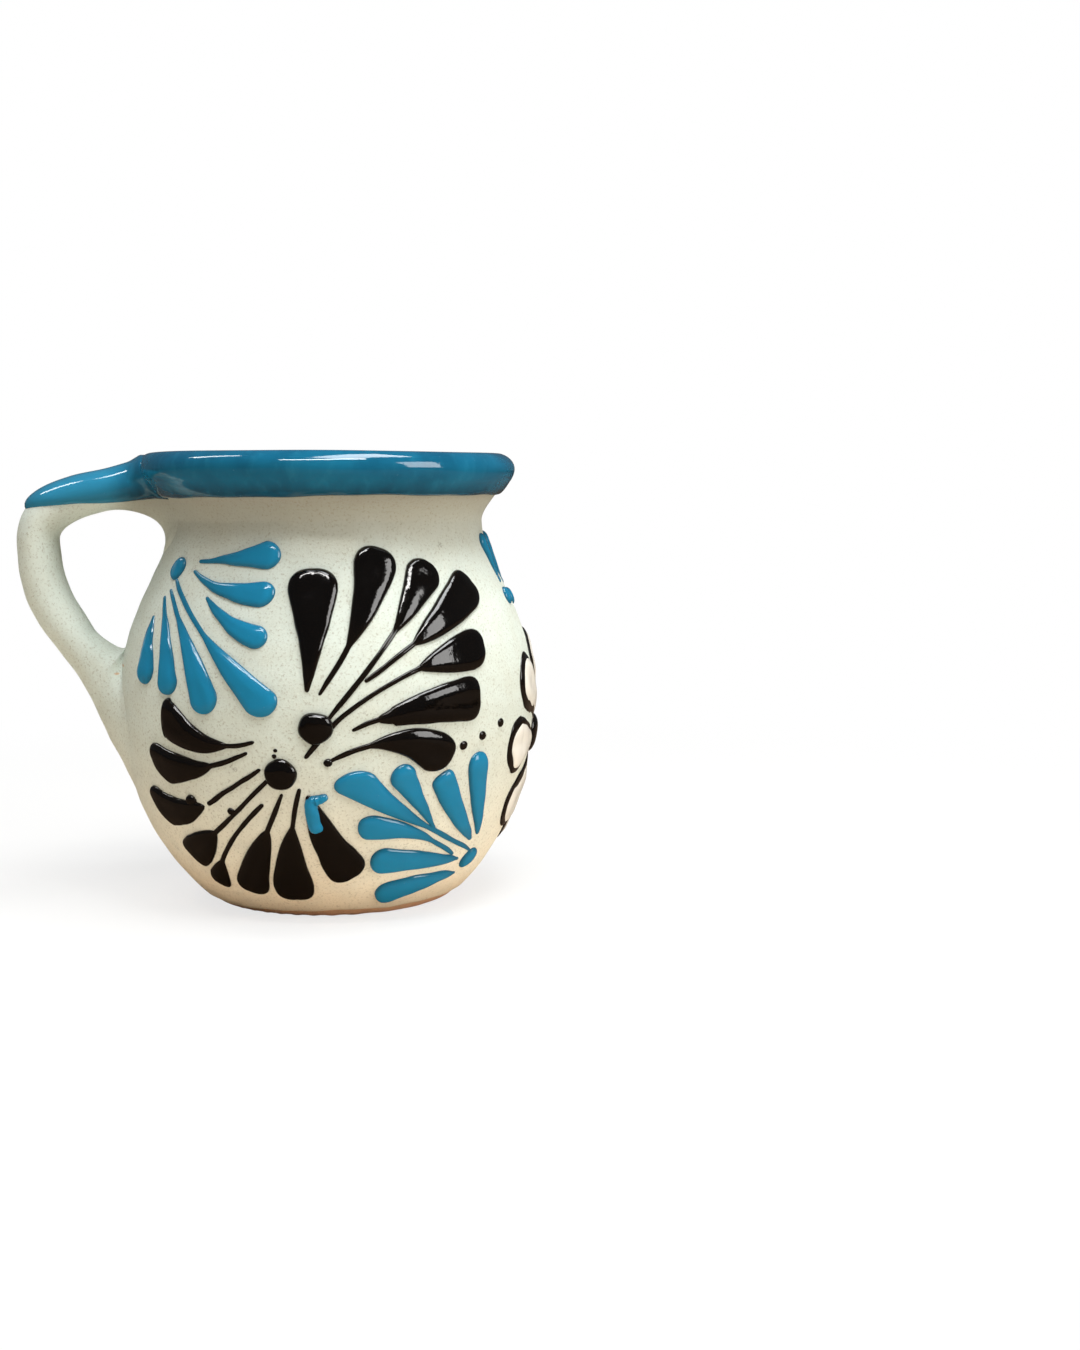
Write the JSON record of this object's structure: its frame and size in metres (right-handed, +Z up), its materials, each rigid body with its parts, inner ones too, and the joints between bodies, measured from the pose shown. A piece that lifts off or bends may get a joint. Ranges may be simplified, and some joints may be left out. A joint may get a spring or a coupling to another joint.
{
  "type": "jarrito clay mug",
  "caption": "Bulbous thrown clay mug with a drawn-in neck, rolled glazed lip, pulled loop handle and raised trailed-slip petals.",
  "frame": {"origin": "centre of the flat foot, on the plane that the mug stands on", "axes": "+Z up along the throwing axis, -X towards the handle"},
  "size_m": [0.1109, 0.0896, 0.095],
  "materials": {
    "terracotta": "unglazed",
    "slip": "matt, sandy",
    "blue_glaze": "gloss",
    "blue_enamel": "gloss",
    "black_enamel": "gloss",
    "white_enamel": "gloss"
  },
  "bodies": {
    "root": {"clay_body": "terracotta", "crown_eyes": "blue_enamel", "crown_petals": "blue_enamel", "dots": "black_enamel", "far_lower_black_eye": "black_enamel", "far_lower_black_petals": "black_enamel", "far_lower_blue_eye": "blue_enamel", "far_lower_blue_petals": "blue_enamel", "far_upper_black_eye": "black_enamel", "far_upper_black_petals": "black_enamel", "far_upper_blue_eye": "blue_enamel", "far_upper_blue_petals": "blue_enamel", "flower_eye": "black_enamel", "flower_outline": "black_enamel", "flower_petals": "white_enamel", "handle": "slip", "handle_glaze": "blue_glaze", "inner_glaze": "blue_glaze", "lower_black_eye": "black_enamel", "lower_black_petals": "black_enamel", "lower_blue_eye": "blue_enamel", "lower_blue_petals": "blue_enamel", "rim_glaze": "blue_glaze", "slip_coat": "slip", "stray_drop": "blue_enamel", "upper_black_eye": "black_enamel", "upper_black_petals": "black_enamel", "upper_blue_eye": "blue_enamel", "upper_blue_petals": "blue_enamel"}
  },
  "joints": []
}
